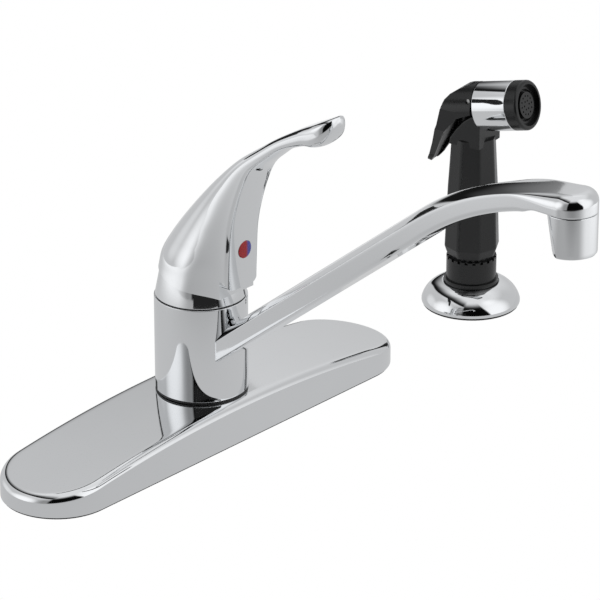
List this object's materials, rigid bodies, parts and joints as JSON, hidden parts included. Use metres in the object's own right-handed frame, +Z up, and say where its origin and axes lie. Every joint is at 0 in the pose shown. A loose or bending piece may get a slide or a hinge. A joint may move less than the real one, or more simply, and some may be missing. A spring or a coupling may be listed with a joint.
{
  "type": "side spray kitchen faucet",
  "caption": "Single-lever chrome kitchen faucet with a swivelling spout on a ten-inch deck plate and a separate black hand spray.",
  "frame": {"origin": "on the sink deck, where the axis that the spout turns about meets it", "axes": "+Z up, +X along the deck plate towards the hand spray, -Y towards the user and the spout outlet"},
  "size_m": [0.3558, 0.2598, 0.3106],
  "materials": {
    "chrome": "mirror-polished plating",
    "black_plastic": "moulded, satin to glossy",
    "bearing_plastic": "plain moulded",
    "rubber": "plain moulded",
    "ceramic": "lapped ceramic",
    "moulded_plastic": "plain moulded",
    "brass": "machined",
    "copper": "drawn copper tube",
    "steel": "plain stainless steel",
    "index_colours": "moulded, one part red and one part blue"
  },
  "bodies": {
    "base": {"deck_plate": "chrome", "deck_gasket": "rubber", "waterway_body": "brass", "mounting_studs": "steel", "stud_washers": "steel", "stud_nuts": "moulded_plastic", "cover_screws": "steel", "supply_tail_hot": "copper", "supply_tail_cold": "copper", "tail_fittings": "brass", "spray_nipple": "brass", "friction_ring": "bearing_plastic", "spout_o_rings": "rubber", "glide_washer": "bearing_plastic", "bonnet": "chrome", "cartridge_base": "moulded_plastic", "cartridge_seals": "rubber", "fixed_disc": "ceramic", "cartridge_shell": "moulded_plastic", "retaining_nut": "brass", "diverter_seat": "brass", "spray_flange": "chrome", "flange_gasket": "rubber", "holder_collar": "black_plastic", "holder_nut": "moulded_plastic"},
    "spout": {"spout": "chrome", "outlet_skirt": "chrome", "aerator_housing": "moulded_plastic", "aerator_screen": "moulded_plastic", "aerator_washer": "rubber"},
    "stem_carrier": {"stem_guide": "moulded_plastic", "hinge_pin": "steel"},
    "lever": {"lever_stem": "steel", "handle": "chrome", "handle_set_screw": "steel", "index_button": "index_colours"},
    "disc": {"moving_disc": "ceramic", "disc_carrier": "moulded_plastic"},
    "diverter": {"diverter_plunger": "moulded_plastic"},
    "sprayer": {"spray_body": "black_plastic", "spray_band": "chrome", "nozzle_ring": "black_plastic", "nozzle_face": "black_plastic", "hose_coupling": "black_plastic", "spray_valve_seat": "brass", "trigger_pin": "steel", "trigger_spring": "steel"},
    "trigger": {"trigger": "black_plastic"},
    "plunger": {"valve_plunger": "moulded_plastic"}
  },
  "joints": [
    {"name": "spout_swivel", "type": "hinge", "parent": "base", "child": "spout", "pos_m": [0, 0, 0.0466], "axis": [0, 0, 1], "range_deg": [-110, 110]},
    {"name": "handle_turn", "type": "hinge", "parent": "base", "child": "stem_carrier", "pos_m": [0, 0, 0.0747], "axis": [0, 0, 1], "range_deg": [-45, 45]},
    {"name": "handle_lift", "type": "hinge", "parent": "stem_carrier", "child": "lever", "pos_m": [0, 0, 0.0747], "axis": [-1, 0, 0], "range_deg": [0, 22]},
    {"name": "disc_slide", "type": "slide", "parent": "stem_carrier", "child": "disc", "axis": [0, -1, 0], "range_m": [0, 0.00352]},
    {"name": "diverter_slide", "type": "slide", "parent": "base", "child": "diverter", "axis": [0, -1, 0], "range_m": [0, 0.002]},
    {"name": "spray_lift", "type": "slide", "parent": "base", "child": "sprayer", "axis": [0, 0, 1], "range_m": [0, 0.15]},
    {"name": "trigger_pull", "type": "hinge", "parent": "sprayer", "child": "trigger", "pos_m": [0.20357, -0.00607, 0.1151], "axis": [-0.9888, -0.1495, 0], "range_deg": [0, 9], "stiffness_Nm_per_rad": 0.3, "springref_deg": -14.32},
    {"name": "plunger_slide", "type": "slide", "parent": "sprayer", "child": "plunger", "axis": [0, 0, -1], "range_m": [0, 0.00109], "deforming": ["trigger_spring"]}
  ],
  "couplings": [
    {"joint": "disc_slide", "follows": "handle_lift", "m_per_rad": 0.009143},
    {"joint": "diverter_slide", "follows": "trigger_pull", "m_per_rad": 0.01273},
    {"joint": "plunger_slide", "follows": "trigger_pull", "m_per_rad": 0.0069}
  ]
}
